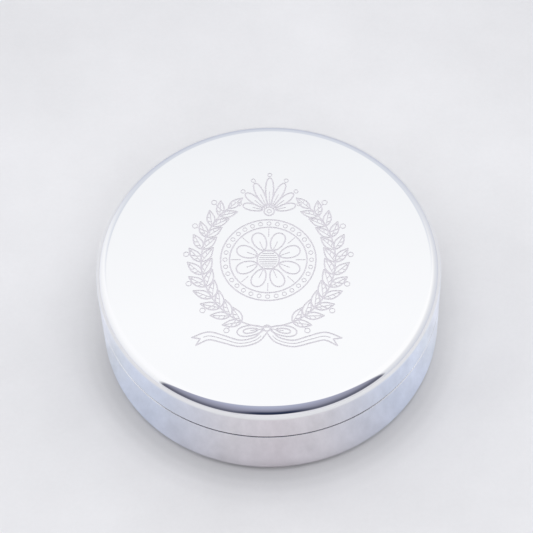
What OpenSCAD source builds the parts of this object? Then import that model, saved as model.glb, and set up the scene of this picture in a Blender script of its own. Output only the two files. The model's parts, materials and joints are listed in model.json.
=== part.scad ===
// Round hinged pill box: a polished metal base and lid, a mirror in the lid and a moulded
// tray with compartments in the base. Millimetres, +Z up, the front of the box faces -Y,
// the hinge is at the back, and the origin is the centre of the underside.

/* [Case] */
// Outer diameter of the closed box
case_d = 50; // [46:0.5:58]
// Height of the closed box
case_h = 17; // [16.6:0.1:19]
// Height of the line where the lid meets the base
seam_z = 10.5; // [10.2:0.1:10.8]
// Gap between the lid's edge and the base's edge
seam_gap = 0.25; // [0.15:0.05:0.35]
// Thickness of the drawn sheet metal
sheet_t = 0.6; // [0.5:0.05:0.7]
// Radius of the lid's rounded shoulder
shoulder_r = 1.7; // [1.2:0.1:2]
// Radius of the rounded edge under the base
foot_r = 1.7; // [1.2:0.1:2]
// Radius of the broken outer corner of each rim
rim_r = 0.2; // [0.1:0.05:0.3]

/* [Collar and catch] */
// How far the collar stands up from the seam into the lid
collar_rise = 1.9; // [1.8:0.1:2.2]
// How far the collar reaches down into the base from the seam
collar_drop = 5; // [4:0.5:6]
// Thickness of the collar
collar_t = 0.6; // [0.5:0.05:0.7]
// Radial gap between the collar and the lid's wall
lid_clearance = 0.2; // [0.2:0.05:0.3]
// Radius of the catch stud's shank
stud_r = 0.45; // [0.4:0.05:0.5]
// How far the catch stud stands proud of the collar
stud_proud = 0.14; // [0.1:0.01:0.15]

/* [Hinge] */
// Width of the hinge along its pin
hinge_w = 12; // [11:0.5:13]
// Width of the lid's middle knuckle
lid_knuckle_w = 5.6; // [5:0.1:6]
// Gap between neighbouring knuckles
knuckle_gap = 0.2; // [0.15:0.05:0.3]
// Outer radius of the knuckles
knuckle_r = 1; // [0.9:0.05:1.1]
// Radius of the hinge pin
pin_r = 0.5; // [0.45:0.01:0.52]
// Height of the base's hinge leaf along the wall
base_leaf_h = 3.8; // [3:0.1:4]
// Height of the lid's hinge leaf along the wall
lid_leaf_h = 2; // [1.6:0.1:2.2]
// Angle at which the stop lip meets the base leaf
lid_open = 100; // [98:1:104]

/* [Mirror] */
// Radius of the mirror glass
mirror_r = 23.3; // [21:0.1:23.3]
// Thickness of the mirror glass
mirror_t = 1.5; // [1.2:0.1:1.6]
// Thickness of the adhesive sheet behind the mirror
mirror_pad_t = 0.5; // [0.4:0.1:0.6]
// Width of glass that the bezel's flange covers
bezel_cover = 1.5; // [1:0.1:2]
// Thickness of the bezel's flange
bezel_t = 0.6; // [0.5:0.05:0.6]

/* [Tray] */
// Number of compartments
compartments = 3; // [2:1:4]
// Height of the tray's rim above the underside of the box
tray_top = 9.9; // [9:0.1:10]
// Thickness of the tray's floor and rim wall
tray_wall = 0.9; // [0.7:0.1:1.2]
// Thickness of the dividers
divider_t = 1; // [0.8:0.1:1.4]
// Thickness of the adhesive sheet under the tray
tray_pad_t = 0.5; // [0.4:0.1:0.6]

/* [Hidden] */
$fn = 96;
eps = 0.01;

// Case
case_r = case_d / 2;
base_h = seam_z - seam_gap / 2;
lid_h = case_h - seam_z - seam_gap / 2;
wall_in_r = case_r - sheet_t;

// Pieces soldered or glued to each other keep this thin joint between their curved faces.
joint_gap = 0.03;

// Collar and catch
collar_seat_r = wall_in_r - joint_gap;
collar_lid_r = wall_in_r - lid_clearance;
collar_in_r = collar_lid_r - collar_t;
collar_low = seam_z - collar_drop;
collar_top = seam_z + collar_rise;
collar_edge_r = 0.3;
stud_z = seam_z + collar_rise / 2;
stud_hole_r = stud_r + 0.02;
stud_foot_r = 0.8;
stud_foot_t = 0.3;
stud_shank_l = collar_t + joint_gap;
stud_dome_r = (pow(stud_r, 2) + pow(stud_proud, 2)) / (2 * stud_proud);

// Hinge
hinge_clear = 0.1;
hinge_y = case_r + knuckle_r + hinge_clear;
hinge_z = seam_z;
leaf_face_y = case_r + 0.5;
leaf_out = hinge_y - leaf_face_y;
leaf_corner_r = 0.6;
leaf_setback = knuckle_r + 0.15;
base_bore_r = pin_r + 0.01;
lid_bore_r = pin_r + 0.06;
pin_l = hinge_w + 0.5;
pin_end_r = 0.2;
lip_t = 0.4;
lip_w = lid_knuckle_w - 0.6;
lip_root = (lid_bore_r + knuckle_r) / 2;
lip_tilt = 5;
lip_reach = lid_open - 90 + lip_tilt;
lip_touch = 0.03;
lip_l = (leaf_out - lip_touch - lip_t / 2 * cos(lip_reach)) / sin(lip_reach);

// Mirror
lid_ceiling = case_h - sheet_t;
mirror_top = lid_ceiling - mirror_pad_t;
mirror_face = mirror_top - mirror_t;
mirror_pad_r = mirror_r - 1.3;
bezel_low = mirror_face - bezel_t;
bezel_top = case_h - shoulder_r - 0.1;
bezel_out_r = wall_in_r - joint_gap;
bezel_skirt_r = mirror_r + 0.2;
bezel_in_r = mirror_r - bezel_cover;
bezel_bead_r = bezel_t / 2;

// Tray
tray_low = sheet_t + tray_pad_t;
tray_r = collar_in_r - 0.25;
tray_h = tray_top - tray_low;
tray_edge_r = 0.8;
tray_in_r = tray_r - tray_wall;
tray_floor = tray_low + tray_wall;
tray_pad_r = tray_r - 3;

// Half section of a disc whose lower edge is rounded.
module disc_section(r, h, edge_r) {
    square([r - edge_r, h]);
    translate([0, edge_r])
        square([r, h - edge_r]);
    translate([r - edge_r, edge_r])
        circle(r = edge_r);
}

// What comes off a square outer corner at (r, h) to leave it rounded.
module corner_waste(r, h, corner_r) {
    translate([r - corner_r, h - corner_r])
        difference() {
            square(corner_r + eps);
            circle(r = corner_r);
        }
}

// Drawn cup, open upward, with a rounded foot and the outer corner of its rim broken.
module drawn_cup(h, edge_r) {
    rotate_extrude()
        difference() {
            disc_section(case_r, h, edge_r);
            translate([0, sheet_t])
                disc_section(wall_in_r, h, edge_r - sheet_t);
            corner_waste(case_r, h, rim_r);
        }
}

module base_shell() {
    color("#d9dce2")
        drawn_cup(base_h, foot_r);
}

module lid_shell() {
    color("#e6e9ee")
        translate([0, 0, case_h])
            mirror([0, 0, 1])
                drawn_cup(lid_h, shoulder_r);
}

// Ring soldered inside the base's wall, which stands up for the lid to close over.
module base_collar() {
    color("#c9ccd2")
        difference() {
            rotate_extrude()
                difference() {
                    union() {
                        translate([collar_in_r, collar_low])
                            square([collar_seat_r - collar_in_r, base_h - collar_low]);
                        translate([collar_in_r, collar_low])
                            square([collar_lid_r - collar_in_r, collar_top - collar_low]);
                    }
                    corner_waste(collar_lid_r, collar_top, collar_edge_r);
                }
            translate([0, 0, stud_z])
                rotate([90, 0, 0])
                    cylinder(r = stud_hole_r, h = case_r);
        }
}

// Small riveted stud at the front of the collar, whose dome rubs the lid's wall.
module catch_stud() {
    color("#b9bcc2")
        translate([0, -collar_in_r + joint_gap, stud_z])
            rotate([90, 0, 0])
                rotate_extrude() {
                    translate([0, -stud_foot_t])
                        square([stud_foot_r, stud_foot_t]);
                    translate([0, -stud_foot_t / 2])
                        square([stud_r, stud_shank_l + stud_foot_t / 2]);
                    intersection() {
                        translate([0, stud_shank_l - eps])
                            square([stud_r, stud_proud + eps]);
                        translate([0, stud_shank_l + stud_proud - stud_dome_r])
                            circle(r = stud_dome_r);
                    }
                }
}

// Outline of a leaf from x0 to x1 and from z0 to z1, with rounded corners.
module leaf_outline(x0, x1, z0, z1) {
    translate([x0 + leaf_corner_r, z0])
        square([x1 - x0 - 2 * leaf_corner_r, z1 - z0]);
    translate([x0, z0 + leaf_corner_r])
        square([x1 - x0, z1 - z0 - 2 * leaf_corner_r]);
    for (x = [x0 + leaf_corner_r, x1 - leaf_corner_r])
        for (z = [z0 + leaf_corner_r, z1 - leaf_corner_r])
            translate([x, z])
                circle(r = leaf_corner_r);
}

// Leaf outline given its thickness: flat outside, hollowed inside to lie against the case.
module leaf_plate() {
    difference() {
        translate([0, leaf_face_y, 0])
            rotate([90, 0, 0])
                linear_extrude(height = leaf_face_y - case_r + sheet_t * 2)
                    children();
        cylinder(r = case_r + joint_gap, h = case_h);
    }
}

// Solid knuckle from x0 to x1 on the hinge's axis.
module knuckle(x0, x1, r) {
    translate([x0, hinge_y, hinge_z])
        rotate([0, 90, 0])
            cylinder(r = r, h = x1 - x0);
}

module base_hinge_leaf() {
    knuckle_x = lid_knuckle_w / 2 + knuckle_gap;
    leaf_top = hinge_z - leaf_setback;
    leaf_mid = leaf_top - base_leaf_h / 2;
    color("#c4c7cd")
        difference() {
            union() {
                leaf_plate()
                    leaf_outline(-hinge_w / 2, hinge_w / 2, leaf_top - base_leaf_h, leaf_top);
                leaf_plate()
                    for (side = [0, 1])
                        mirror([side, 0])
                            translate([knuckle_x, leaf_mid])
                                square([hinge_w / 2 - knuckle_x, base_h - leaf_mid]);
                for (side = [0, 1])
                    mirror([side, 0, 0])
                        knuckle(knuckle_x, hinge_w / 2, knuckle_r);
            }
            knuckle(-hinge_w, hinge_w, base_bore_r);
        }
}

// The lid's leaf, with the middle knuckle and the lip that stops the lid when it is open.
module lid_hinge_leaf() {
    knuckle_x = lid_knuckle_w / 2;
    leaf_low = hinge_z + leaf_setback;
    rim_z = seam_z + seam_gap / 2;
    color("#c4c7cd")
        difference() {
            union() {
                leaf_plate()
                    leaf_outline(-hinge_w / 2, hinge_w / 2, leaf_low, leaf_low + lid_leaf_h);
                leaf_plate()
                    translate([-knuckle_x, rim_z])
                        square([lid_knuckle_w, leaf_low + lid_leaf_h / 2 - rim_z]);
                knuckle(-knuckle_x, knuckle_x, knuckle_r);
                translate([0, hinge_y, hinge_z])
                    rotate([-lip_tilt, 0, 0])
                        translate([-lip_w / 2, lip_root, -lip_t / 2])
                            cube([lip_w, lip_l - lip_root, lip_t]);
            }
            knuckle(-hinge_w, hinge_w, lid_bore_r);
        }
}

module hinge_pin() {
    color("#9da1a8")
        translate([-pin_l / 2, hinge_y, hinge_z])
            rotate([0, 90, 0])
                rotate_extrude()
                    difference() {
                        disc_section(pin_r, pin_l, pin_end_r);
                        corner_waste(pin_r, pin_l, pin_end_r);
                    }
}

module mirror_pad() {
    color("#3a3a3d")
        translate([0, 0, mirror_top])
            cylinder(r = mirror_pad_r, h = mirror_pad_t);
}

module mirror_glass() {
    color("#dfe9ee")
        translate([0, 0, mirror_face])
            cylinder(r = mirror_r, h = mirror_t);
}

// Ring pressed into the lid, whose beaded flange holds the mirror.
module mirror_bezel() {
    color("#d0d3d9")
        rotate_extrude() {
            translate([bezel_in_r + bezel_bead_r, bezel_low])
                square([bezel_out_r - bezel_in_r - bezel_bead_r, bezel_t]);
            translate([bezel_in_r + bezel_bead_r, bezel_low + bezel_bead_r])
                circle(r = bezel_bead_r);
            translate([bezel_skirt_r, bezel_low])
                square([bezel_out_r - bezel_skirt_r, bezel_top - bezel_low]);
        }
}

module tray_pad() {
    color("#3a3a3d")
        translate([0, 0, sheet_t])
            cylinder(r = tray_pad_r, h = tray_pad_t);
}

// Dividers from the middle to the rim wall, the first one pointing to the hinge.
module divider_outline() {
    for (i = [0:compartments - 1])
        rotate(90 + i * 360 / compartments)
            translate([0, -divider_t / 2])
                square([tray_in_r + tray_wall / 2, divider_t]);
}

module pill_tray() {
    color("#f2efe6") {
        translate([0, 0, tray_low])
            rotate_extrude()
                difference() {
                    disc_section(tray_r, tray_h, tray_edge_r);
                    translate([0, tray_wall])
                        square([tray_in_r, tray_h]);
                }
        translate([0, 0, tray_floor - tray_wall / 2])
            linear_extrude(height = tray_top - tray_floor + tray_wall / 2)
                divider_outline();
    }
}

base_shell();
base_collar();
catch_stud();
base_hinge_leaf();
hinge_pin();
tray_pad();
pill_tray();
lid_shell();
lid_hinge_leaf();
mirror_pad();
mirror_glass();
mirror_bezel();
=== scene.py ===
import json
import math

import bpy
from mathutils import Matrix, Quaternion, Vector
from mathutils.geometry import delaunay_2d_cdt


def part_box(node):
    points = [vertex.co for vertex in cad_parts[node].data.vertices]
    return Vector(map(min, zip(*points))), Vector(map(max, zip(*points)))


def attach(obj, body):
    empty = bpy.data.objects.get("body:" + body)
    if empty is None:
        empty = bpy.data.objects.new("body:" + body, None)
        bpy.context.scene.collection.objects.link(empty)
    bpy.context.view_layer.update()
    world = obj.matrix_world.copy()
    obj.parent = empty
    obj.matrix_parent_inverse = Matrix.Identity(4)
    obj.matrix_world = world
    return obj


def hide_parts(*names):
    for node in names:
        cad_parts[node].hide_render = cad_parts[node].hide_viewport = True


# Looks of a round hinged pill box of polished metal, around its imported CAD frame. Metres, +Z up,
# the front faces -Y, the hinge is at the back, and the origin is the centre of the underside.

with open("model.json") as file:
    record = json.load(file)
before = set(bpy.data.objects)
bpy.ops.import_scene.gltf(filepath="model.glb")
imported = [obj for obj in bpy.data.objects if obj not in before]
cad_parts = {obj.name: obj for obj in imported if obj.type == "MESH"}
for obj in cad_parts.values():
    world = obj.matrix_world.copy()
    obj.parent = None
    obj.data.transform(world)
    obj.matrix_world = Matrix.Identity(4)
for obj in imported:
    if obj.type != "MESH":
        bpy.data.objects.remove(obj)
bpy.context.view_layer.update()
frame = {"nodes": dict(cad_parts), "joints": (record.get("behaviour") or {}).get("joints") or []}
scene = bpy.context.scene

MM = 0.001
TINY = 1e-9

# ---------------- sizes taken from the frame

CASE_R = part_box("lid_shell")[1].x
CASE_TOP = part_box("lid_shell")[1].z
LID_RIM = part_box("lid_shell")[0].z
BASE_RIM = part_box("base_shell")[1].z
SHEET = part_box("tray_pad")[0].z
WALL_IN = CASE_R - SHEET

# Roundings that the frame's boxes don't give
EDGE_R = 1.7 * MM
RIM_R = 0.1 * MM
INNER_RIM_R = 0.12 * MM

# ---------------- mesh building

UP = Vector((0, 0, 1))
ROUND_STEPS = 288
PIN_STEPS = 48
# Faces that meet at less than this angle shade as one smooth surface
SMOOTH_COS = math.cos(math.radians(35))
# Where one side is this many times longer than the next, the longer side's normal is kept
LONG_SIDE = 3.0
# Points of a plan that are closer than this, in millimetres, are merged
MERGED = 1e-5


class Shape:
    """Points and faces being gathered. Each face has a material place and a normal per corner,
    or no normals, and then they are worked out from the faces around."""

    def __init__(self):
        self.points = []
        self.faces = []
        self.normals = []
        self.places = []

    def add(self, x, y, z):
        self.points.append(Vector((x, y, z)))
        return len(self.points) - 1

    def face(self, corners, normals=None, place=0):
        self.faces.append(tuple(corners))
        self.normals.append(normals)
        self.places.append(place)

    def band(self, inner, outer):
        """Faces between two closed loops that have the same number of points."""
        for k in range(len(inner)):
            n = (k + 1) % len(inner)
            self.face([inner[k], outer[k], outer[n], inner[n]])

    def moved(self, matrix):
        """The same shape, moved by the matrix."""
        turn = matrix.to_3x3()
        found = Shape()
        found.points = [matrix @ p for p in self.points]
        for corners, normals, place in zip(self.faces, self.normals, self.places):
            turned = None if normals is None else [turn @ n for n in normals]
            found.face(corners, turned, place)
        return found

    def loose_normals(self):
        """Corner normals for the faces that came without: near faces share one, by their area."""
        flat = []
        around = {}
        for number, corners in enumerate(self.faces):
            area = Vector((0, 0, 0))
            for a, b in zip(corners[1:], corners[2:]):
                start = self.points[corners[0]]
                area += (self.points[a] - start).cross(self.points[b] - start)
            flat.append((area.normalized(), area.length))
            for corner in corners:
                around.setdefault(corner, []).append(number)
        for number, corners in enumerate(self.faces):
            if self.normals[number] is None:
                own = flat[number][0]
                found = []
                for corner in corners:
                    near = [flat[k] for k in around[corner] if flat[k][0].dot(own) > SMOOTH_COS]
                    found.append(sum((n * size for n, size in near), Vector()).normalized())
                self.normals[number] = found

    def build(self, name, body, slot_name, replaced, materials):
        """Makes the piece: its mesh, its materials, and its place in the frame."""
        self.loose_normals()
        used = sorted({c for corners in self.faces for c in corners})
        number = {old: new for new, old in enumerate(used)}
        mesh = bpy.data.meshes.new(name)
        faces = [[number[c] for c in corners] for corners in self.faces]
        mesh.from_pydata([self.points[k] for k in used], [], faces)
        for polygon, place in zip(mesh.polygons, self.places):
            polygon.material_index = place
            polygon.use_smooth = True
        mesh.normals_split_custom_set([tuple(n) for ns in self.normals for n in ns])
        for material in materials:
            mesh.materials.append(material)
        piece = bpy.data.objects.new(name, mesh)
        scene.collection.objects.link(piece)
        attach(piece, body)
        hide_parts(*replaced)
        return piece


def arc(centre_x, centre_y, radius, start, end, steps):
    """Points on an arc, from the start angle to the end angle, in degrees."""
    angles = [math.radians(start + (end - start) * k / steps) for k in range(steps + 1)]
    return [(centre_x + radius * math.cos(a), centre_y + radius * math.sin(a)) for a in angles]


def side_normals(outline):
    """For each side of a closed outline, walked with its inside on the left, the normals at its
    two ends. Sides that nearly line up share one: the longer side's, where a flat meets an arc."""
    sides = []
    for k, (x, y) in enumerate(outline):
        next_x, next_y = outline[(k + 1) % len(outline)]
        along = Vector((next_x - x, next_y - y))
        sides.append((Vector((along.y, -along.x)).normalized(), along.length))

    def shared(first, second):
        if first[0].dot(second[0]) < SMOOTH_COS:
            return None
        if first[1] > LONG_SIDE * second[1]:
            return first[0]
        if second[1] > LONG_SIDE * first[1]:
            return second[0]
        return (first[0] + second[0]).normalized()

    found = []
    for k, side in enumerate(sides):
        before = shared(sides[k - 1], side)
        after = shared(side, sides[(k + 1) % len(sides)])
        found.append((before or side[0], after or side[0]))
    return found


def revolve(shape, outline, steps=ROUND_STEPS, open_side=None):
    """Turns a closed outline of (radius, height) points about Z, and returns its rings of points.
    The side numbered open_side is left without faces."""
    turns = [math.tau * k / steps for k in range(steps)]
    round_points = [(math.cos(t), math.sin(t)) for t in turns]
    rings = []
    for radius, height in outline:
        if radius < TINY:
            rings.append([shape.add(0, 0, height)] * steps)
        else:
            rings.append([shape.add(radius * c, radius * s, height) for c, s in round_points])
    for k, (first, last) in enumerate(side_normals(outline)):
        low = rings[k]
        high = rings[(k + 1) % len(rings)]
        low_point = low[0] == low[1]
        high_point = high[0] == high[1]
        if k == open_side or (low_point and high_point):
            continue
        for j in range(steps):
            n = (j + 1) % steps
            corners = [(low[j], first, j), (low[n], first, n), (high[n], last, n), (high[j], last, j)]
            if low_point:
                del corners[1]
            if high_point:
                del corners[2]
            turned = [Vector((f.x * round_points[t][0], f.x * round_points[t][1], f.y))
                      for _, f, t in corners]
            shape.face([c for c, _, _ in corners], turned)
    return rings


def turned_shape(outline, steps=ROUND_STEPS):
    """A closed outline of (radius, height) points turned about Z, as a new shape."""
    shape = Shape()
    revolve(shape, outline, steps)
    return shape


def rounded_outline(corners):
    """A closed outline from (x, y, radius) corners, each rounded by its radius."""
    steps = 4
    found = []
    for k, (x, y, radius) in enumerate(corners):
        here = Vector((x, y))
        if radius < TINY:
            found.append((x, y))
            continue
        before = (Vector(corners[k - 1][:2]) - here).normalized()
        after = (Vector(corners[(k + 1) % len(corners)][:2]) - here).normalized()
        half = before.angle(after) / 2
        reach = radius / math.tan(half)
        centre = here + (before + after).normalized() * radius / math.sin(half)
        start = here + before * reach - centre
        end = here + after * reach - centre
        turn = start.angle_signed(end)
        for j in range(steps + 1):
            swung = start.copy()
            swung.rotate(Matrix.Rotation(-turn * j / steps, 2))
            found.append(tuple(centre + swung))
    return found


# ---------------- node helpers


def node(tree, kind, settings=None, **inputs):
    """Adds a node. Inputs are given by name, as values or as sockets to link."""
    made = tree.nodes.new(kind)
    for name, value in (settings or {}).items():
        setattr(made, name, value)
    for name, value in inputs.items():
        join(tree, value, made.inputs[name.replace("_", " ")])
    return made


def join(tree, value, socket):
    if isinstance(value, bpy.types.NodeSocket):
        tree.links.new(value, socket)
    else:
        socket.default_value = value


def maths(tree, operation, *values, clamp=False):
    made = node(tree, "ShaderNodeMath", {"operation": operation, "use_clamp": clamp})
    for socket, value in zip(made.inputs, values):
        join(tree, value, socket)
    return made.outputs[0]


def times(tree, first, second):
    return maths(tree, "MULTIPLY", first, second)


def scaled(tree, value, low, high, out_low, out_high, smooth=False):
    """Maps a value from one range to another, and stops at the ends."""
    kind = "SMOOTHSTEP" if smooth else "LINEAR"
    made = node(tree, "ShaderNodeMapRange", {"interpolation_type": kind, "clamp": True})
    for name, given in (("Value", value), ("From Min", low), ("From Max", high),
                        ("To Min", out_low), ("To Max", out_high)):
        join(tree, given, made.inputs[name])
    return made.outputs[0]


def ramp(tree, value, stops, smooth=False):
    """A colour ramp from (place, (red, green, blue)) stops."""
    made = node(tree, "ShaderNodeValToRGB", Fac=value)
    made.color_ramp.interpolation = "EASE" if smooth else "LINEAR"
    elements = made.color_ramp.elements
    while len(elements) < len(stops):
        elements.new(1.0)
    for element, (place, colour) in zip(elements, stops):
        element.position = place
        element.color = (*colour, 1)
    return made.outputs["Color"]


def blend(tree, amount, first, second):
    """Mixes two colours."""
    made = node(tree, "ShaderNodeMix", {"data_type": "RGBA"})
    join(tree, amount, made.inputs[0])
    join(tree, first, made.inputs[6])
    join(tree, second, made.inputs[7])
    return made.outputs[2]


def stretched(tree, place, x, y, z):
    """A place scaled by its own amount along each axis."""
    made = node(tree, "ShaderNodeMapping", Vector=place)
    made.inputs["Scale"].default_value = (x, y, z)
    return made.outputs["Vector"]


def from_axis(tree, x, y):
    """The distance from the Z axis."""
    return maths(tree, "SQRT", maths(tree, "ADD", times(tree, x, x), times(tree, y, y)))


def weighted(tree, share, first, second):
    """Two values mixed, with this share of the first."""
    return maths(tree, "ADD", times(tree, first, share), times(tree, second, 1 - share))


def tinted(tree, colour, tint):
    """A colour multiplied by another colour, or by a value."""
    made = node(tree, "ShaderNodeVectorMath", {"operation": "MULTIPLY"})
    join(tree, colour, made.inputs[0])
    join(tree, tint, made.inputs[1])
    return made.outputs[0]


def noise(tree, place, scale, detail, rough):
    made = node(tree, "ShaderNodeTexNoise", Vector=place, Scale=scale, Detail=detail, Roughness=rough)
    return made.outputs["Fac"]


def around_axis(tree, place, across, along):
    """Coordinates for lines that run round Z: radius and height at one scale, angle at another."""
    x, y, z = node(tree, "ShaderNodeSeparateXYZ", Vector=place).outputs
    return node(
        tree, "ShaderNodeCombineXYZ",
        X=times(tree, from_axis(tree, x, y), across),
        Y=times(tree, maths(tree, "ARCTAN2", y, x), along),
        Z=times(tree, z, across),
    ).outputs[0]


def new_material(name, **values):
    """A material with one Principled shader. Even values are set on the shader's own sockets."""
    made = bpy.data.materials.new(name)
    made.use_nodes = True
    tree = made.node_tree
    shader = tree.nodes["Principled BSDF"]
    for key, value in values.items():
        shader.inputs[key.replace("_", " ")].default_value = value
    place = node(tree, "ShaderNodeTexCoord").outputs["Object"]
    return made, tree, shader, place


def surface(tree, shader, colour, rough, height=None, depth=0):
    """Links the shader's colour and roughness, and a bump if it has a depth."""
    join(tree, colour, shader.inputs["Base Color"])
    join(tree, rough, shader.inputs["Roughness"])
    if depth:
        bump = node(tree, "ShaderNodeBump", Height=height, Distance=depth)
        join(tree, bump.outputs["Normal"], shader.inputs["Normal"])


# ---------------- materials


def chrome(name, rim_height):
    """Mirror polish with hairline wiping marks, slight haze, and wear along the rim."""
    made, tree, shader, place = new_material(name, Metallic=1.0, Specular_IOR_Level=0.5)
    haze = noise(tree, place, 90, 3, 0.55)
    hairs = []
    for degrees, length in ((24, 160), (-38, 120), (81, 200)):
        turned = node(tree, "ShaderNodeMapping", Vector=place)
        turned.inputs["Rotation"].default_value = (0, 0, math.radians(degrees))
        turned.inputs["Scale"].default_value = (length, 9000, 9000)
        hairs.append(noise(tree, turned.outputs[0], 1, 1, 0.4))
    hair = maths(tree, "MAXIMUM", maths(tree, "MAXIMUM", hairs[0], hairs[1]), hairs[2])
    hair = scaled(tree, hair, 0.7, 0.84, 0, 1)
    height = node(tree, "ShaderNodeSeparateXYZ", Vector=place).outputs[2]
    from_rim = maths(tree, "ABSOLUTE", maths(tree, "SUBTRACT", height, rim_height))
    patch = noise(tree, place, 700, 4, 0.6)
    worn_to = times(tree, patch, 0.5 * MM)
    worn = maths(tree, "SUBTRACT", 1.0, scaled(tree, from_rim, 0.08 * MM, worn_to, 0, 1), clamp=True)
    smooth_part = scaled(tree, haze, 0.3, 0.75, 0.006, 0.022)
    rough = maths(tree, "ADD", smooth_part, times(tree, hair, 0.04))
    rough = maths(tree, "ADD", rough, times(tree, worn, 0.06))
    clean = blend(tree, haze, (0.925, 0.928, 0.935, 1), (0.905, 0.908, 0.917, 1))
    colour = blend(tree, times(tree, worn, 0.35), clean, (0.78, 0.77, 0.77, 1))
    wave = noise(tree, place, 260, 2, 0.5)
    wave = maths(tree, "SUBTRACT", wave, times(tree, hair, 0.2))
    surface(tree, shader, colour, rough, wave, 0.0012 * MM)
    return made


def frosted(name):
    """The engraved floor: a fine even grain that scatters the light."""
    made, tree, shader, place = new_material(name, Metallic=1.0)
    grain = noise(tree, place, 9000, 3, 0.6)
    colour = ramp(tree, grain, ((0.3, (0.82, 0.785, 0.81)), (0.7, (0.92, 0.89, 0.91))))
    surface(tree, shader, colour, scaled(tree, grain, 0.3, 0.7, 0.45, 0.62), grain, 0.006 * MM)
    return made


def turned_metal(name, colour, rough, line_depth):
    """Plated metal with fine lines round the axis, as left by a lathe."""
    made, tree, shader, place = new_material(name, Metallic=1.0)
    lines = noise(tree, around_axis(tree, place, 9000, 1.5), 1, 4, 0.6)
    broad = noise(tree, place, 140, 3, 0.5)
    dark = tuple(0.86 * c for c in colour)
    shade = weighted(tree, 0.6, lines, broad)
    surface(tree, shader, ramp(tree, shade, ((0.3, dark), (0.62, colour))),
            scaled(tree, shade, 0.3, 0.7, rough * 0.7, rough * 1.35), lines, line_depth)
    return made


def brushed_metal(name, colour, rough, line_depth, scales):
    """Metal with straight fine lines, longest along the axis with the smallest scale."""
    made, tree, shader, place = new_material(name, Metallic=1.0)
    lines = noise(tree, stretched(tree, place, *scales), 1, 4, 0.6)
    broad = noise(tree, place, 300, 3, 0.5)
    dark = tuple(0.82 * c for c in colour)
    shade = weighted(tree, 0.5, lines, broad)
    surface(tree, shader, ramp(tree, shade, ((0.32, dark), (0.62, colour))),
            scaled(tree, shade, 0.3, 0.7, rough * 0.7, rough * 1.4), lines, line_depth)
    return made


def silvered_glass(name):
    """Mirror glass: silvered, very smooth, with a few dust specks and a faint cool tint."""
    made, tree, shader, place = new_material(
        name, Metallic=1.0, Coat_Weight=1.0, Coat_IOR=1.5, Coat_Roughness=0.01)
    film = noise(tree, place, 70, 3, 0.5)
    specks = node(tree, "ShaderNodeTexVoronoi", Vector=place, Scale=420.0, Randomness=1.0)
    dust = scaled(tree, specks.outputs["Distance"], 0.0, 0.09, 1, 0)
    colour = ramp(tree, film, ((0.3, (0.86, 0.90, 0.91)), (0.7, (0.90, 0.93, 0.93))))
    rough = maths(tree, "ADD", scaled(tree, film, 0.3, 0.7, 0.004, 0.018), times(tree, dust, 0.12))
    surface(tree, shader, colour, rough)
    return made


def moulded_plastic(name):
    """Ivory moulding: satin, with a fine spark-eroded grain and slight shade variation."""
    made, tree, shader, place = new_material(
        name, IOR=1.49, Subsurface_Weight=0.12, Subsurface_Scale=1.2 * MM, Coat_Weight=0.08)
    shade = noise(tree, place, 110, 4, 0.55)
    grain = noise(tree, place, 5200, 3, 0.6)
    flow = noise(tree, stretched(tree, place, 260, 260, 60), 1, 2, 0.5)
    colour = ramp(tree, weighted(tree, 0.6, shade, flow),
                  ((0.3, (0.76, 0.73, 0.655)), (0.7, (0.82, 0.795, 0.725))))
    surface(tree, shader, colour, scaled(tree, grain, 0.3, 0.7, 0.3, 0.44), grain, 0.004 * MM)
    return made


def adhesive_foam(name):
    """Dark closed-cell foam tape."""
    made, tree, shader, place = new_material(name, Specular_IOR_Level=0.3)
    cells = node(tree, "ShaderNodeTexVoronoi", Vector=place, Scale=5200.0)
    depth = cells.outputs["Distance"]
    patch = noise(tree, place, 240, 3, 0.5)
    mixed = weighted(tree, 0.5, depth, patch)
    colour = ramp(tree, mixed, ((0.2, (0.022, 0.022, 0.024)), (0.8, (0.06, 0.06, 0.063))))
    surface(tree, shader, colour, scaled(tree, mixed, 0.2, 0.8, 0.75, 0.95), depth, 0.02 * MM)
    return made


# ---------------- ornament, in millimetres

LINE = 0.21
FINE_LINE = 0.13
ENGRAVE_DEPTH = 0.03 * MM
ORNAMENT_CENTRE = (0.0, 0.5)


def both_sides(points, widths):
    """The points half a width to the left and to the right of each point of a path."""
    left = []
    right = []
    for k, (point, width) in enumerate(zip(points, widths)):
        along = (points[min(k + 1, len(points) - 1)] - points[max(k - 1, 0)]).normalized()
        side = Vector((-along.y, along.x)) * width / 2
        left.append(point + side)
        right.append(point - side)
    return left, right


def stroke(path, width=LINE):
    """The outline of a pointed line of this width along a path of (x, y) points."""
    points = [Vector(p) for p in path]
    left, right = both_sides(points, [width] * len(points))
    tail = points[0] - (points[1] - points[0]).normalized() * width / 2
    tip = points[-1] + (points[-1] - points[-2]).normalized() * width / 2
    return [tail, *right, tip, *reversed(left)]


def placed(strokes, x, y, degrees, flip=1):
    """Strokes turned about their origin and moved, and mirrored in X where flip is -1."""
    turn = Matrix.Rotation(math.radians(degrees), 2)
    return [[Vector(((turn @ p).x * flip + x, (turn @ p).y + y)) for p in outline]
            for outline in strokes]


def mirrored(path):
    """Strokes along a path and along its mirror image across the X axis."""
    return [stroke([(x, side * y) for x, y in path]) for side in (1, -1)]


def leaf(length, width):
    """A pointed leaf from the origin along +X, one half of it shaded with short lines."""
    steps = 9
    slant = 0.12

    def half_width(share):
        return width / 2 * math.sin(math.pi * share ** 0.85)

    found = mirrored([(length * k / steps, half_width(k / steps)) for k in range(steps + 1)])
    found.append(stroke([(0, 0), (length * 0.45, 0), (length * 0.86, 0)], FINE_LINE))
    for share in (0.24, 0.49, 0.74):
        tip = share + slant
        found.append(stroke([(length * share, 0), (length * tip, -half_width(tip))], FINE_LINE))
    return found


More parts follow.
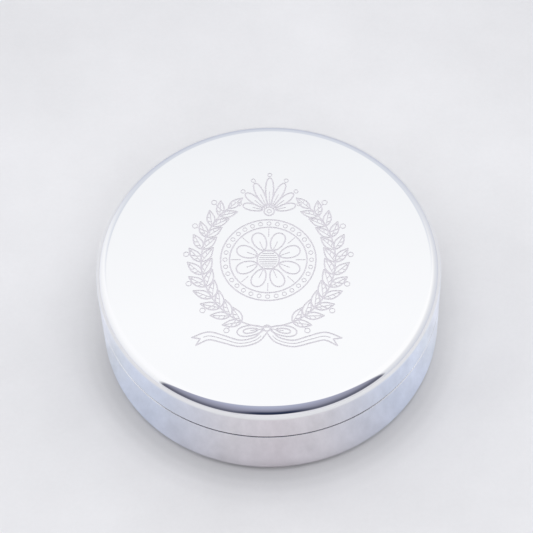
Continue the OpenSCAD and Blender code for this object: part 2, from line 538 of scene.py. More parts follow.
def ring(radius, width=LINE, x=0.0, y=0.0):
    """A circle, as two half rounds."""
    steps = max(8, int(radius * 9))
    return [stroke(arc(x, y, radius, start, start + 180, steps), width) for start in (0, 180)]


def petal(inner, outer, width):
    """A round-ended petal between two distances from the origin, along +X."""
    steps = 10
    path = []
    for k in range(steps + 1):
        t = k / steps
        reach = inner + (outer - inner) * (1 - math.cos(math.pi * t)) / 2
        path.append((reach, width / 2 * math.sin(math.pi * t) * (0.55 + 0.45 * t)))
    return mirrored(path) + [stroke([(inner, 0), ((inner + outer) / 2, 0)], FINE_LINE)]


def hatched_disc(radius, spacing):
    """Parallel lines that fill a circle."""
    count = int(radius / spacing)
    lines = []
    for k in range(-count, count + 1):
        half = math.sqrt(radius ** 2 - (k * spacing) ** 2) - LINE
        if half > spacing / 2:
            lines.append(stroke([(-half, k * spacing), (half, k * spacing)], FINE_LINE))
    return lines


def medallion():
    """Rosette of eight petals round a hatched centre, inside a beaded ring."""
    found = []
    for k in range(8):
        found += placed(petal(1.75, 4.9, 2.5), 0, 0, 45 * k + 22.5)
        found += placed([stroke([(4.0, 0), (5.35, 0)], FINE_LINE)], 0, 0, 45 * k)
    found += ring(1.6)
    found += hatched_disc(1.5, 0.36)
    found += ring(5.6)
    found += ring(6.9)
    for k in range(32):
        angle = math.tau * k / 32
        found += ring(0.3, FINE_LINE, 6.25 * math.cos(angle), 6.25 * math.sin(angle))
    return found


def on_oval(degrees):
    """The point at this angle on the oval that the branches follow, and its heading in degrees."""
    half_width = 9.7
    half_height = 11.3
    angle = math.radians(degrees)
    heading = math.atan2(half_height * math.cos(angle), -half_width * math.sin(angle))
    return half_width * math.cos(angle), half_height * math.sin(angle), math.degrees(heading)


def branch(flip):
    """Laurel branch with berries, which rises from the foot of the ornament round one side."""
    first = -94
    last = 52
    pairs = 11
    found = [stroke([on_oval(a)[:2] for a in range(first, last + 1, 2)])]
    for k in range(pairs):
        share = k / (pairs - 1)
        x, y, heading = on_oval(-68 + 110 * share)
        size = 1.0 - 0.25 * abs(share - 0.45)
        for side in (1, -1):
            found += placed(leaf(3.1 * size, 1.3 * size), x, y, heading + side * 36)
        if k % 2 == 0:
            x, y, heading = on_oval(-68 + 110 * (share + 0.45 / (pairs - 1)))
            stalk = [(0, 0), (1.0, -0.1), (1.9, 0)]
            found += placed([stroke(stalk, FINE_LINE), *ring(0.38, FINE_LINE, 2.25)], x, y, heading - 84)
    found += placed(leaf(2.7, 1.15), *on_oval(last))
    return placed(found, 0, 0, 0, flip)


def palmette():
    """Seven round-ended petals that fan out above the medallion, tipped with beads."""
    base_y = 8.4
    found = ring(0.75, LINE, 0, base_y)
    found += ring(0.3, FINE_LINE, 0, base_y)
    for tilt, length in ((0, 5.9), (24, 5.4), (48, 4.7), (74, 4.0)):
        for side in (1, -1) if tilt else (1,):
            turn = 90 + side * tilt
            found += placed(petal(1.0, length, 1.5), 0, base_y, turn)
            found += placed(ring(0.3, FINE_LINE, length + 0.55), 0, base_y, turn)
    return found


def ribbon(path, start_width, end_width):
    """A flat ribbon along a path: its edges, a forked end, and a fine line along its middle."""
    middle = smooth_path(path)
    last = len(middle) - 1
    widths = [start_width + (end_width - start_width) * k / last for k in range(last + 1)]
    edges = both_sides(middle, widths)
    fork = middle[-1] - (middle[-1] - middle[-2]).normalized() * end_width * 0.7
    found = [stroke(edge) for edge in edges]
    found += [stroke([edge[-1], fork]) for edge in edges]
    found.append(stroke(middle[3:-4], FINE_LINE))
    return found


def bow(flip):
    """One half of a ribbon bow that ties the branches where they cross: a loop and a tail."""
    knot_y = -11.5
    found = placed(petal(0.45, 4.3, 2.2) + petal(1.3, 3.4, 1.0), 0, knot_y, -10)
    found += ribbon([(0.3, -12.0), (1.5, -13.4), (3.8, -14.0), (6.2, -13.3), (8.3, -12.8), (10.3, -13.7)],
                    0.8, 1.4)
    return placed(found, 0, 0, 0, flip) + ring(0.5, LINE, 0, knot_y)


def smooth_path(points):
    """A smooth line through the points."""
    steps = 6
    knots = [Vector(p) for p in points]
    ends = [2 * knots[0] - knots[1], *knots, 2 * knots[-1] - knots[-2]]
    path = []
    for a, b, c, d in zip(ends, ends[1:], ends[2:], ends[3:]):
        for k in range(steps):
            t = k / steps
            path.append(0.5 * (2 * b + (c - a) * t + (2 * a - 5 * b + 4 * c - d) * t * t
                               + (3 * b - a - 3 * c + d) * t ** 3))
    return [*path, knots[-1]]


def ornament():
    found = medallion() + palmette()
    for flip in (1, -1):
        found += branch(flip) + bow(flip)
    return placed(found, *ORNAMENT_CENTRE, 0)


def turns_left(outline):
    """Whether the outline is walked with its inside on the left."""
    return sum(a.cross(b) for a, b in zip(outline, [*outline[1:], outline[0]])) > 0


def engraved_disc(shape, edge, radius, height, strokes):
    """Closes the ring of points called edge with a flat disc, into which the strokes are cut."""
    plan = [Vector((radius * math.cos(t), radius * math.sin(t))) / MM
            for t in (math.tau * k / len(edge) for k in range(len(edge)))]
    edges = [(k, (k + 1) % len(edge)) for k in range(len(edge))]
    outlines = []
    for outline in strokes:
        around = list(range(len(plan), len(plan) + len(outline)))
        outlines.append(around if turns_left(outline) else around[::-1])
        plan += outline
    at, _, faces, came_from, _, cut_by = delaunay_2d_cdt(plan, edges, outlines, 0, MERGED)
    rim = {k: edge[min(old)] for k, old in enumerate(came_from) if old and min(old) < len(edge)}
    levels = {}

    def point(k, level):
        if level == 0 and k in rim:
            return rim[k]
        if (k, level) not in levels:
            depth = ENGRAVE_DEPTH * level
            levels[k, level] = shape.add(at[k].x * MM, at[k].y * MM, height - depth)
        return levels[k, level]

    cut_edges = set()
    plain_edges = set()
    for corners, cut in zip(faces, cut_by):
        level = 1 if cut else 0
        shape.face([point(k, level) for k in corners], [UP] * len(corners), level)
        pairs = zip(corners, [*corners[1:], corners[0]])
        (cut_edges if cut else plain_edges).update(pairs)
    for a, b in cut_edges:
        if (b, a) in plain_edges:
            shape.face([point(b, 1), point(a, 1), point(a, 0), point(b, 0)], None, 1)


# ---------------- case


def cup_outline(height):
    """Half section of a drawn cup that opens upward, with a rounded foot and a softened rim."""
    corner = CASE_R - EDGE_R
    return [
        (0, 0),
        *arc(corner, EDGE_R, EDGE_R, -90, 0, 20),
        *arc(CASE_R - RIM_R, height - RIM_R, RIM_R, 0, 90, 6),
        *arc(WALL_IN + INNER_RIM_R, height - INNER_RIM_R, INNER_RIM_R, 90, 180, 4),
        *arc(corner, EDGE_R, EDGE_R - SHEET, 0, -90, 14),
        (0, SHEET),
    ]


def base_shell():
    shape = turned_shape(cup_outline(BASE_RIM))
    metal = chrome("case_chrome_base", BASE_RIM)
    return shape.build("base_cup", "base", "case_metal", ["base_shell"], [metal])


def lid_shell():
    outline = [(r, CASE_TOP - z) for r, z in reversed(cup_outline(CASE_TOP - LID_RIM))]
    shape = Shape()
    rings = revolve(shape, outline, open_side=len(outline) - 2)
    engraved_disc(shape, rings[-2], outline[-2][0], CASE_TOP, ornament())
    metals = [chrome("case_chrome_lid", LID_RIM), frosted("engraving")]
    return shape.build("lid_cup", "lid", "case_metal", ["lid_shell"], metals)


# ---------------- collar, stud, mirror and bezel


def collar(metal):
    low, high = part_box("base_collar")
    thick = 0.77 * MM
    step = 0.17 * MM
    inner = high.x - thick
    stand = high.x - step
    soft = 0.1 * MM
    lead_in = 0.3 * MM
    outline = rounded_outline([
        (inner, low.z, soft), (high.x, low.z, soft), (high.x, BASE_RIM, soft / 2),
        (stand, BASE_RIM, 0), (stand, high.z, lead_in), (inner, high.z, lead_in / 2)])
    shape = turned_shape(outline)
    return shape.build("collar_ring", "base", "collar_metal", ["base_collar"], [metal])


def catch_stud(metal):
    low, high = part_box("catch_stud")
    foot_r = high.x
    shank_r = 0.45 * MM
    foot_t = 0.3 * MM
    proud = 0.14 * MM
    foot_soft = 0.12 * MM
    length = high.y - low.y
    dome_r = (shank_r ** 2 + proud ** 2) / (2 * proud)
    half = math.degrees(math.asin(shank_r / dome_r))
    outline = [
        (0, 0),
        *arc(foot_r - foot_soft, foot_soft, foot_soft, -90, 0, 5),
        (foot_r, foot_t),
        (shank_r, foot_t),
        *arc(0, length - dome_r, dome_r, 90 - half, 90, 8),
    ]
    middle = Vector((0, high.y, (low.z + high.z) / 2))
    shape = turned_shape(outline, PIN_STEPS)
    shape = shape.moved(Matrix.Translation(middle) @ Matrix.Rotation(math.pi / 2, 4, "X"))
    return shape.build("catch_rivet", "base", "pin_metal", ["catch_stud"], [metal])


def mirror():
    low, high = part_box("mirror_glass")
    bevel = 0.3 * MM
    outline = [(0, low.z), (high.x - bevel, low.z), (high.x, low.z + bevel),
               (high.x, high.z - bevel), (high.x - bevel, high.z), (0, high.z)]
    shape = turned_shape(outline)
    return shape.build("lid_mirror", "lid", "mirror_glass", ["mirror_glass"],
                       [silvered_glass("mirror_silver")])


def bezel(metal):
    low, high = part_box("mirror_bezel")
    thick = 0.6 * MM
    flange_w = 2.57 * MM
    skirt_t = 0.87 * MM
    soft = 0.1 * MM
    inner = high.x - flange_w
    skirt = high.x - skirt_t
    bead = thick / 2
    outline = [
        *arc(high.x - soft, low.z + soft, soft, -90, 0, 4),
        *arc(high.x - soft, high.z - soft, soft, 0, 90, 4),
        (skirt, high.z),
        (skirt, low.z + thick),
        *arc(inner + bead, low.z + bead, bead, 90, 270, 16),
    ]
    shape = turned_shape(outline)
    return shape.build("bezel_ring", "lid", "collar_metal", ["mirror_bezel"], [metal])


# ---------------- tray

COMPARTMENTS = 3
DIVIDER_T = 1.0 * MM
TRAY_WALL = 0.9 * MM
TRAY_RIM_R = 0.3 * MM
TRAY_CORNER_R = 2.0 * MM
TRAY_FLOOR_R = 1.3 * MM
# The way that the first compartment faces, in degrees from +X
TRAY_TURN = 30


def compartment_loop(inner_r, inset):
    """The outline of a compartment that faces +X, moved inward by the inset."""
    half = math.pi / COMPARTMENTS
    distance = DIVIDER_T / 2 + TRAY_CORNER_R
    normal = Vector((math.sin(half), -math.cos(half)))
    along = Vector((math.cos(half), math.sin(half)))
    reach = math.sqrt((inner_r - TRAY_CORNER_R) ** 2 - distance ** 2)
    outer = normal * distance + along * reach
    middle = (distance / math.sin(half), 0.0)
    bend = TRAY_CORNER_R - inset
    turn = math.degrees(math.atan2(outer.y, outer.x))
    flank = math.degrees(half) + 90
    return [
        *arc(outer.x, outer.y, bend, turn, flank, 10),
        *arc(*middle, bend, flank, 360 - flank, 8),
        *arc(outer.x, -outer.y, bend, 360 - flank, 360 - turn, 10),
        *arc(0, 0, inner_r - inset, -turn, turn, 44)[1:-1],
    ]


def pocket_levels(top, floor):
    """(inset, height) of each loop down a compartment's wall, from the rim to the floor."""
    rim = [(-TRAY_RIM_R + x, z) for x, z in arc(0, top - TRAY_RIM_R, TRAY_RIM_R, 90, 0, 4)]
    foot = arc(TRAY_FLOOR_R, floor + TRAY_FLOOR_R, TRAY_FLOOR_R, 180, 270, 7)
    return [*rim, *foot]


def pocket(shape, inner_r, top, floor, degrees):
    """One compartment's wall and floor. Returns the points of its rim."""
    turn = Matrix.Rotation(math.radians(degrees), 2)
    rows = []
    for inset, height in pocket_levels(top, floor):
        loop = [turn @ Vector(p) for p in compartment_loop(inner_r, inset)]
        rows.append([shape.add(p.x, p.y, height) for p in loop])
    for upper, lower in zip(rows, rows[1:]):
        shape.band(lower, upper)
    shape.face(rows[-1])
    return rows[0]


def tray():
    low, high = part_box("pill_tray")
    radius = high.x
    floor = low.z + TRAY_WALL
    edge_r = 0.8 * MM
    outline = [
        (0, low.z),
        *arc(radius - edge_r, low.z + edge_r, edge_r, -90, 0, 10),
        *arc(radius - TRAY_RIM_R, high.z - TRAY_RIM_R, TRAY_RIM_R, 0, 90, 5),
        (0, high.z),
    ]
    shape = Shape()
    rings = revolve(shape, outline, open_side=len(outline) - 2)
    loops = [rings[-2]]
    for k in range(COMPARTMENTS):
        turn = TRAY_TURN + 360 * k / COMPARTMENTS
        loops.append(pocket(shape, radius - TRAY_WALL, high.z, floor, turn))
    flat_ring(shape, loops)
    return shape.build("compartment_tray", "base", "tray_plastic", ["pill_tray"],
                       [moulded_plastic("ivory_plastic")])


def flat_ring(shape, loops):
    """Fills the flat between an outer loop of points and the loops inside it."""
    plan = []
    owner = []
    edges = []
    for number, loop in enumerate(loops):
        first = len(plan)
        plan += [Vector(shape.points[k].xy) / MM for k in loop]
        owner += [(number, k) for k in loop]
        edges += [(first + k, first + (k + 1) % len(loop)) for k in range(len(loop))]
    holes = []
    first = len(loops[0])
    for loop in loops[1:]:
        holes.append(list(range(first, first + len(loop))))
        first += len(loop)
    _, _, faces, came_from, _, inside = delaunay_2d_cdt(plan, edges, holes, 0, MERGED)
    for corners, hole in zip(faces, inside):
        if not hole:
            shape.face([owner[min(came_from[k])][1] for k in corners], [UP] * len(corners))


# ---------------- hinge

_, HINGE_Y, HINGE_Z = frame["joints"][0]["pos_m"]
KNUCKLE_R = 1.0 * MM
# How far from the case's axis the leaves' outer faces and hollow backs are
LEAF_FACE = 25.5 * MM
LEAF_BACK = 25.03 * MM
LEAF_CORNER = 0.6 * MM
RIM_CORNER = 0.15 * MM
POST_CORNER = 0.2 * MM
LEAF_SOFT = 0.1 * MM
# The plates' ends stand back from the knuckles' ends by this much, so no two faces coincide
END_STEP = 0.015 * MM


def inset(outline, distance):
    """A closed outline moved inward. It is walked with its inside on the left."""
    found = []
    for k, point in enumerate(outline):
        here = Vector(point)
        before = here - Vector(outline[k - 1])
        after = Vector(outline[(k + 1) % len(outline)]) - here
        first = Vector((-before.y, before.x)).normalized()
        middle = (first + Vector((-after.y, after.x)).normalized()).normalized()
        found.append(here + middle * distance / middle.dot(first))
    return found


def leaf_plate(corners):
    """A plate from its outline's (x, z, radius) corners, with its outer edges softened. It reaches
    into the case, which is cut from it later."""
    outline = rounded_outline(corners)
    depth = 1.5 * MM
    layers = [(LEAF_FACE - depth, outline)]
    for distance, y in arc(LEAF_SOFT, LEAF_FACE - LEAF_SOFT, LEAF_SOFT, 180, 90, 4):
        layers.append((y, inset(outline, distance)))
    shape = Shape()
    rows = [[shape.add(x, y, z) for x, z in loop] for y, loop in layers]
    for inner, outer in zip(rows, rows[1:]):
        shape.band(inner, outer)
    shape.face(rows[0])
    shape.face(list(reversed(rows[-1])))
    return shape


def case_body():
    """The round space that the case fills, which hollows the leaves' backs."""
    return turned_shape([(0, 0), (LEAF_BACK, 0), (LEAF_BACK, CASE_TOP), (0, CASE_TOP)])


def on_hinge_axis(start, outline, steps):
    """An outline of (radius, distance) points turned about the hinge's axis, from X = start on."""
    place = Matrix.Translation((start, HINGE_Y, HINGE_Z))
    return turned_shape(outline, steps).moved(place @ Matrix.Rotation(math.pi / 2, 4, "Y"))


def knuckle(start, end, bore):
    """A rolled knuckle with softened ends, bored for the pin."""
    steps = 64
    soft = 0.12 * MM
    bore_soft = 0.03 * MM
    length = end - start
    outline = rounded_outline([(bore, 0, bore_soft), (KNUCKLE_R, 0, soft),
                               (KNUCKLE_R, length, soft), (bore, length, bore_soft)])
    return on_hinge_axis(start, outline, steps)


def stop_lip():
    """The tongue that meets the base leaf and holds the lid when it is fully open."""
    half_width = 2.5 * MM
    root = 0.78 * MM
    tip = 1.46 * MM
    thick = 0.4 * MM
    soft = 0.08 * MM
    tilt = math.radians(5)
    section = rounded_outline([(root, -thick / 2, 0), (tip, -thick / 2, soft),
                               (tip, thick / 2, soft), (root, thick / 2, 0)])
    bar = Shape()
    left, right = [[bar.add(x, y, z) for y, z in section] for x in (-half_width, half_width)]
    bar.band(right, left)
    bar.face(list(reversed(left)))
    bar.face(right)
    return bar.moved(Matrix.Translation((0, HINGE_Y, HINGE_Z)) @ Matrix.Rotation(-tilt, 4, "X"))


def combined(first, *steps):
    """One closed shape from several, by (operation, shape) steps: UNION joins, DIFFERENCE cuts."""
    blanks = []
    for shape in (first, *(shape for _, shape in steps)):
        mesh = bpy.data.meshes.new("blank")
        mesh.from_pydata(shape.points, [], shape.faces)
        blanks.append(bpy.data.objects.new("blank", mesh))
        scene.collection.objects.link(blanks[-1])
    for (operation, _), blank in zip(steps, blanks[1:]):
        change = blanks[0].modifiers.new(operation, "BOOLEAN")
        change.operation = operation
        change.solver = "EXACT"
        change.object = blank
    ready = blanks[0].evaluated_get(bpy.context.evaluated_depsgraph_get())
    result = bpy.data.meshes.new_from_object(ready)
    whole = Shape()
    for vertex in result.vertices:
        whole.add(*vertex.co)
    for polygon in result.polygons:
        whole.face(list(polygon.vertices))
    for mesh in (result, *(blank.data for blank in blanks)):
        bpy.data.meshes.remove(mesh)
    return whole


def base_leaf(metal):
    low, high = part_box("base_hinge_leaf")
    half = high.x
    knuckle_x = 3.0 * MM
    bore = 0.51 * MM
    plate_top = 9.35 * MM
    side = half - END_STEP
    post = knuckle_x + END_STEP
    plate = leaf_plate([
        (-side, low.z, LEAF_CORNER), (side, low.z, LEAF_CORNER),
        (side, BASE_RIM, RIM_CORNER), (post, BASE_RIM, RIM_CORNER),
        (post, plate_top, POST_CORNER), (-post, plate_top, POST_CORNER),
        (-post, BASE_RIM, RIM_CORNER), (-side, BASE_RIM, RIM_CORNER)])
    shape = combined(
        plate, ("DIFFERENCE", case_body()),
        ("UNION", knuckle(-half, -knuckle_x, bore)),
        ("UNION", knuckle(knuckle_x, half, bore)))
    return shape.build("hinge_leaf_base", "base", "hinge_metal", ["base_hinge_leaf"], [metal])


def lid_leaf(metal):
    _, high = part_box("lid_hinge_leaf")
    half = high.x
    knuckle_x = 2.8 * MM
    bore = 0.56 * MM
    plate_low = 11.65 * MM
    post = knuckle_x - END_STEP
    plate = leaf_plate([
        (-half, plate_low, LEAF_CORNER), (-post, plate_low, POST_CORNER),
        (-post, LID_RIM, RIM_CORNER), (post, LID_RIM, RIM_CORNER),
        (post, plate_low, POST_CORNER), (half, plate_low, LEAF_CORNER),
        (half, high.z, LEAF_CORNER), (-half, high.z, LEAF_CORNER)])
    shape = combined(
        plate, ("DIFFERENCE", case_body()),
        ("UNION", knuckle(-knuckle_x, knuckle_x, bore)),
        ("UNION", stop_lip()))
    return shape.build("hinge_leaf_lid", "lid", "hinge_metal", ["lid_hinge_leaf"], [metal])


def hinge_pin(metal):
    low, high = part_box("hinge_pin")
    length = high.x - low.x
    radius = (high.z - low.z) / 2
    end = 0.2 * MM
    outline = [
        (0, 0),
        *arc(radius - end, end, end, -90, 0, 6),
        *arc(radius - end, length - end, end, 0, 90, 6),
        (0, length),
    ]
    shape = on_hinge_axis(low.x, outline, PIN_STEPS)
    return shape.build("hinge_pin_rod", "base", "pin_metal", ["hinge_pin"], [metal])


# ---------------- carried-over nodes


def pads():
    """The two adhesive sheets keep their CAD shapes and get a foam material."""
    foam = adhesive_foam("adhesive_foam")
    for name in ("tray_pad", "mirror_pad"):
        mesh = frame["nodes"][name].data
        mesh.materials.clear()
        mesh.materials.append(foam)


# ---------------- studio

# The camera and the paper tent stand turned by this much round the object, in degrees
VIEW_TURN = 3.0
FLOOR_R = 2.0
STAGE_STEPS = 96
# The floor is this far below the object, and the film on it is this far above the underside
FLOOR_GAP = 0.02 * MM

# Shadow painted on the floor round the box, as (mm from the case's wall, share of light that is left)
SHADE_REACH = 6 * MM
FOOT_SHADE = ((-1.7, 0.62), (-0.9, 0.66), (-0.4, 0.75), (0, 0.80), (1.0, 0.81), (2.2, 0.88),
              (4, 0.965), (6, 1.0))

# Light from the paper round the object, as (degrees above the floor, (red, green, blue))
BACK_LIGHT = ((0, (0.59, 0.62, 0.72)), (15, (0.62, 0.65, 0.75)), (30, (0.71, 0.74, 0.82)),
              (51, (0.75, 0.78, 0.85)), (55, (0.97, 0.98, 1.0)), (59, (1.04, 1.045, 1.06)),
              (90, (1.07, 1.07, 1.08)))
LEFT_LIGHT = ((0, (0.86, 0.87, 0.93)), (17, (0.95, 0.96, 0.99)), (34, (1.01, 1.015, 1.03)),
              (50, (1.06, 1.06, 1.08)), (90, (1.07, 1.07, 1.08)))
RIGHT_LIGHT = ((0, (0.67, 0.70, 0.78)), (17, (0.76, 0.775, 0.83)), (34, (0.84, 0.85, 0.89)),
               (44, (0.98, 0.98, 0.99)), (50, (1.07, 1.07, 1.08)), (90, (1.07, 1.07, 1.08)))
# Light through the opening in the paper at the front, on its centre line and to its sides
OPENING_LIGHT = ((0, (0.85, 0.84, 0.88)), (16, (0.86, 0.85, 0.90)), (18.5, (0.14, 0.15, 0.21)),
                 (22, (0.018, 0.026, 0.06)), (34, (0.025, 0.033, 0.07)), (41, (0.07, 0.08, 0.13)),
                 (49, (0.22, 0.225, 0.30)), (69, (0.37, 0.38, 0.50)), (90, (0.45, 0.48, 0.62)))
FLANK_LIGHT = ((0, (0.80, 0.80, 0.84)), (12, (0.74, 0.74, 0.79)), (14.5, (0.15, 0.15, 0.20)),
               (26, (0.12, 0.125, 0.17)), (36, (0.20, 0.205, 0.27)), (46, (0.28, 0.285, 0.37)),
               (69, (0.37, 0.38, 0.50)), (90, (0.45, 0.48, 0.62)))

# Light, shade and tint that the film round the foot paints into the polished walls' reflection of the
# floor, as (degrees from the front, (red, green, blue)); values over 1 brighten it
FILM_R = 52 * MM
PAINTED_REFLECTION_TINTS = ((0, (0.85, 0.80, 0.83)), (18, (0.86, 0.835, 0.865)), (35, (0.80, 0.82, 0.90)),
              (50, (0.82, 0.88, 1.01)), (66, (0.91, 0.975, 1.11)), (76, (0.95, 1.005, 1.09)),
              (81, (0.99, 1.03, 1.10)), (90, (1.12, 1.15, 1.23)), (100, (1.0, 1.02, 1.07)),
              (120, (1.0, 1.0, 1.02)), (180, (0.96, 0.96, 0.99)))


def foot_shade(tree, place):
    """A shadow painted into the floor's colour round the box: the share of the light left beside it,
    least at the front.
    """
    x, y, _ = node(tree, "ShaderNodeSeparateXYZ", Vector=place).outputs
    radius = from_axis(tree, x, y)
    reach = scaled(tree, radius, CASE_R - EDGE_R, CASE_R + SHADE_REACH, 0, 1)
    width = EDGE_R + SHADE_REACH
    stops = [((distance * MM + EDGE_R) / width, (light,) * 3) for distance, light in FOOT_SHADE]
    depth = scaled(tree, maths(tree, "DIVIDE", y, radius), -0.55, 0.05, 1.0, 0.4, True)
    return blend(tree, depth, (1, 1, 1, 1), ramp(tree, reach, stops, True))


def pale_plaster(name):
    """The floor: pale, matt and plain, with a faint cloudiness and a shadow painted round the box."""
    made, tree, shader, place = new_material(name, Specular_IOR_Level=0.2)
    cloud = noise(tree, place, 26, 5, 0.6)
    grain = noise(tree, place, 1600, 3, 0.6)
    colour = ramp(tree, weighted(tree, 0.85, cloud, grain),
                  ((0.3, (0.765, 0.76, 0.75)), (0.7, (0.865, 0.86, 0.85))))
    # The painted shadow round the foot darkens the floor's colour
    colour = tinted(tree, colour, foot_shade(tree, place))
    surface(tree, shader, colour, scaled(tree, grain, 0.3, 0.7, 0.6, 0.8), grain, 0.01 * MM)
    return made


def from_front(tree, place):
    """A place's X, Y and Z, turned as the camera and the tent are."""
    turned = node(tree, "ShaderNodeMapping", Vector=place)
    turned.inputs["Rotation"].default_value = (0, 0, math.radians(-VIEW_TURN))
    return node(tree, "ShaderNodeSeparateXYZ", Vector=turned.outputs["Vector"]).outputs


def light_ramp(tree, elevation, stops):
    """Light by height above the floor, where an elevation of 1 is straight up."""
    return ramp(tree, elevation, [(degrees / 90, colour) for degrees, colour in stops])


def studio_world():
    """A tent of white paper as the world's light, with an opening at the front and overhead."""
    world = bpy.data.worlds.new("paper_tent")
    world.use_nodes = True
    tree = world.node_tree
    x, y, z = from_front(tree, node(tree, "ShaderNodeTexCoord").outputs["Generated"])
    elevation = maths(tree, "DIVIDE", maths(tree, "ARCSINE", z), math.pi / 2, clamp=True)
    level = maths(tree, "SQRT", maths(tree, "SUBTRACT", 1.0001, times(tree, z, z)))
    sideways = maths(tree, "DIVIDE", x, level)
    rearward = maths(tree, "DIVIDE", y, level)
    sides = blend(tree, scaled(tree, sideways, -0.5, 0.5, 0, 1, True),
                  light_ramp(tree, elevation, LEFT_LIGHT), light_ramp(tree, elevation, RIGHT_LIGHT))
    tent = blend(tree, scaled(tree, rearward, 0.72, 0.97, 0, 1, True), sides,
                 light_ramp(tree, elevation, BACK_LIGHT))
    off_centre = maths(tree, "ABSOLUTE", sideways)
    # The opening's light stands a little higher on the right
    lean = 0.035
    tilted = maths(tree, "SUBTRACT", elevation, times(tree, sideways, lean), clamp=True)
    opening = blend(tree, scaled(tree, off_centre, 0.12, 0.42, 0, 1, True),
                    light_ramp(tree, tilted, OPENING_LIGHT), light_ramp(tree, tilted, FLANK_LIGHT))
    # How half the opening's width changes with Y in front and behind, and with Z overhead, then
    # how far the opening is moved to the left, and how soft its edge is
    ahead = -1.68
    behind = -1.0
    overhead = 0.215
    shift = 0.015
    soft = 0.06
    forward = maths(tree, "MAXIMUM", times(tree, y, ahead), times(tree, y, behind))
    reach = maths(tree, "ADD", times(tree, z, overhead), forward)
    inside = maths(tree, "SUBTRACT", reach, maths(tree, "ABSOLUTE", maths(tree, "ADD", x, shift)))
    mask = scaled(tree, inside, -soft, soft, 0, 1, True)
    light = blend(tree, mask, tent, opening)
    background = tree.nodes["Background"]
    tree.links.new(light, background.inputs["Color"])
    background.inputs["Strength"].default_value = 1.0
    scene.world = world


def fill_light():
    """A broad lamp overhead that lifts the floor, and doesn't show in the polished metal."""
    lamp = bpy.data.lights.new("fill", "AREA")
    lamp.shape = "DISK"
    lamp.size = 0.9
    lamp.energy = 3.0
    holder = bpy.data.objects.new("fill", lamp)
    holder.location = (0.08, -0.3, 0.75)
    holder.rotation_euler = (-holder.location).to_track_quat("-Z", "Y").to_euler()
    holder.visible_glossy = False
    scene.collection.objects.link(holder)


def painted_reflection_tint():
    """A clear material that paints light and shade into the polished walls' reflection of the floor: it
    tints, darkens and brightens, by the angle from the front and the distance from the foot. It divides
    out the floor's own painted shadow, which the polished walls don't need."""
    made = bpy.data.materials.new("painted_reflection_tint")
    made.use_nodes = True
    tree = made.node_tree
    tree.nodes.clear()
    place = node(tree, "ShaderNodeTexCoord").outputs["Object"]
    x, y, _ = from_front(tree, place)
    radius = from_axis(tree, x, y)
    angle = maths(tree, "ABSOLUTE", maths(tree, "ARCTAN2", x, times(tree, y, -1.0)))
    tint = ramp(tree, maths(tree, "DIVIDE", angle, math.pi),
                [(degrees / 180, colour) for degrees, colour in PAINTED_REFLECTION_TINTS])
    fade = scaled(tree, radius, CASE_R + 5 * MM, FILM_R, 0, 1, True)
    # Painted shade in the walls' reflection of the floor beside the foot, deepest at the front
    darkest_painted_shade = scaled(tree, angle, math.radians(8), math.radians(42), 0.73, 1.0)
    shade = scaled(tree, radius, CASE_R - 0.3 * MM, CASE_R + 2.2 * MM, darkest_painted_shade, 1.0, True)
    # A random mottle in the painted reflection
    mottle = noise(tree, place, 330, 4, 0.6)
    shade = times(tree, shade, scaled(tree, mottle, 0.3, 0.7, 0.93, 1.07))
    shade = maths(tree, "DIVIDE", shade, foot_shade(tree, place))
    colour = blend(tree, fade, tinted(tree, tint, shade), (1, 1, 1, 1))
    film = node(tree, "ShaderNodeBsdfTransparent", Color=colour)
    output = node(tree, "ShaderNodeOutputMaterial")
    tree.links.new(film.outputs[0], output.inputs["Surface"])
    return made


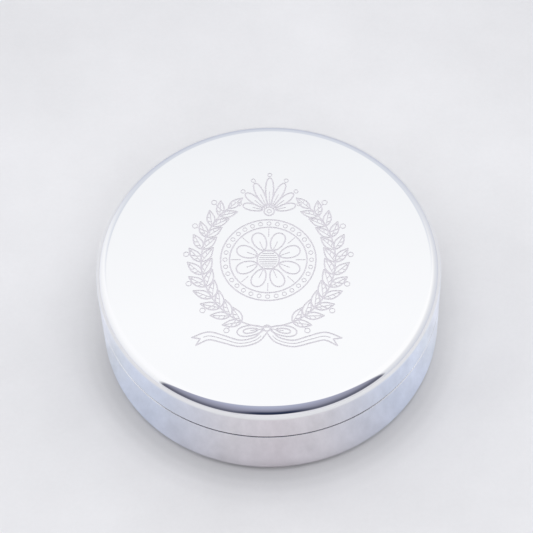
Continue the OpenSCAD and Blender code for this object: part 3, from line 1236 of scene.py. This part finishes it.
def flat_sheet(name, inner, outer, height, material):
    """A flat ring, or a disc where the inner radius is 0."""
    shape = Shape()
    radii = [radius for radius in (inner, outer) if radius > 0]
    circles = [arc(0, 0, radius, 0, 360, STAGE_STEPS)[:-1] for radius in radii]
    rings = [[shape.add(x, y, height) for x, y in circle] for circle in circles]
    if inner > 0:
        shape.band(*rings)
    else:
        shape.face(rings[0])
    mesh = bpy.data.meshes.new(name)
    mesh.from_pydata(shape.points, [], shape.faces)
    mesh.materials.append(material)
    return bpy.data.objects.new(name, mesh)


def painted_reflection_film():
    """A film on the floor round the foot, which shows only in the polished walls, where it paints light,
    shade and tint into their reflection of the floor."""
    # This sheet only paints light and shade into the walls' reflections
    sheet = flat_sheet("painted_reflection_film", CASE_R - EDGE_R, FILM_R, FLOOR_GAP, painted_reflection_tint())
    for rays in ("camera", "diffuse", "transmission", "volume_scatter", "shadow"):
        setattr(sheet, "visible_" + rays, False)
    scene.collection.objects.link(sheet)


def floor():
    ground = flat_sheet("floor", 0, FLOOR_R, -FLOOR_GAP, pale_plaster("floor_plaster"))
    scene.collection.objects.link(ground)


def camera():
    """The view from the front and above, turned slightly about its own line of sight."""
    distance = 0.3375
    elevation = math.radians(59.187)
    roll = math.radians(-2.54)
    target = Vector((-0.27 * MM, -0.23 * MM, 16.36 * MM))
    data = bpy.data.cameras.new("camera")
    data.lens = 151.1
    data.sensor_width = 36
    data.clip_start = 0.01
    holder = bpy.data.objects.new("camera", data)
    place = Vector((0, -distance * math.cos(elevation), distance * math.sin(elevation)))
    look = (target - place).to_track_quat("-Z", "Y") @ Quaternion(UP, roll)
    round_object = Quaternion(UP, math.radians(VIEW_TURN))
    holder.location = round_object @ place
    holder.rotation_mode = "QUATERNION"
    holder.rotation_quaternion = round_object @ look
    scene.collection.objects.link(holder)
    scene.camera = holder


def main():
    camera()
    studio_world()
    fill_light()
    floor()
    painted_reflection_film()
    scene.view_settings.view_transform = "Standard"
    base_shell()
    lid_shell()
    plated = turned_metal("plated_rings", (0.86, 0.86, 0.87), 0.14, 0.002 * MM)
    collar(plated)
    bezel(plated)
    mirror()
    tray()
    pin_steel = brushed_metal("pin_steel", (0.72, 0.73, 0.75), 0.2, 0.003 * MM, (9000, 400, 400))
    catch_stud(pin_steel)
    hinge_pin(pin_steel)
    leaf_metal = brushed_metal("hinge_plating", (0.86, 0.86, 0.875), 0.12, 0.002 * MM, (7000, 500, 500))
    base_leaf(leaf_metal)
    lid_leaf(leaf_metal)
    pads()


main()
